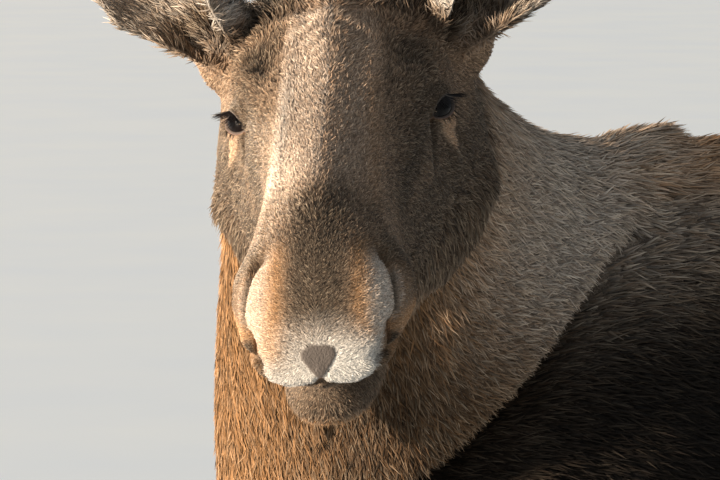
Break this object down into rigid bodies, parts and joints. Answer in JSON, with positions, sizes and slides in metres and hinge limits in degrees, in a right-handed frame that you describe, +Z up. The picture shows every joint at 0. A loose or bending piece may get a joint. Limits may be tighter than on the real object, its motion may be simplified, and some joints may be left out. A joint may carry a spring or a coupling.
{
  "type": "moose",
  "caption": "Life-size standing cow moose in winter coat, with no antlers, head turned to her left, on flat-soled cloven hooves.",
  "frame": {"origin": "on the floor, under the middle of the whole animal's box", "axes": "+Z up; -Y the way the body heads; +X her left side"},
  "size_m": [1.0824, 2.0922, 2.1446],
  "materials": {
    "coat": "dense dark brown winter fur, grizzled grey on neck and back",
    "leg_coat": "short grey-brown fur",
    "hoof": "smooth dark horn",
    "eye": "wet dark brown eye"
  },
  "bodies": {
    "root": {"ear_left": "coat", "ear_right": "coat", "head": "coat", "neck": "coat", "tail": "coat", "leg_front_left": "leg_coat", "hoof_front_left_left": "hoof", "dewclaw_front_left_left": "hoof", "hoof_front_left_right": "hoof", "dewclaw_front_left_right": "hoof", "leg_front_right": "leg_coat", "hoof_front_right_left": "hoof", "dewclaw_front_right_left": "hoof", "hoof_front_right_right": "hoof", "dewclaw_front_right_right": "hoof", "leg_rear_left": "leg_coat", "hoof_rear_left_left": "hoof", "dewclaw_rear_left_left": "hoof", "hoof_rear_left_right": "hoof", "dewclaw_rear_left_right": "hoof", "leg_rear_right": "leg_coat", "hoof_rear_right_left": "hoof", "dewclaw_rear_right_left": "hoof", "hoof_rear_right_right": "hoof", "dewclaw_rear_right_right": "hoof", "trunk": "coat", "eye_left": "eye", "eye_right": "eye"}
  },
  "joints": []
}
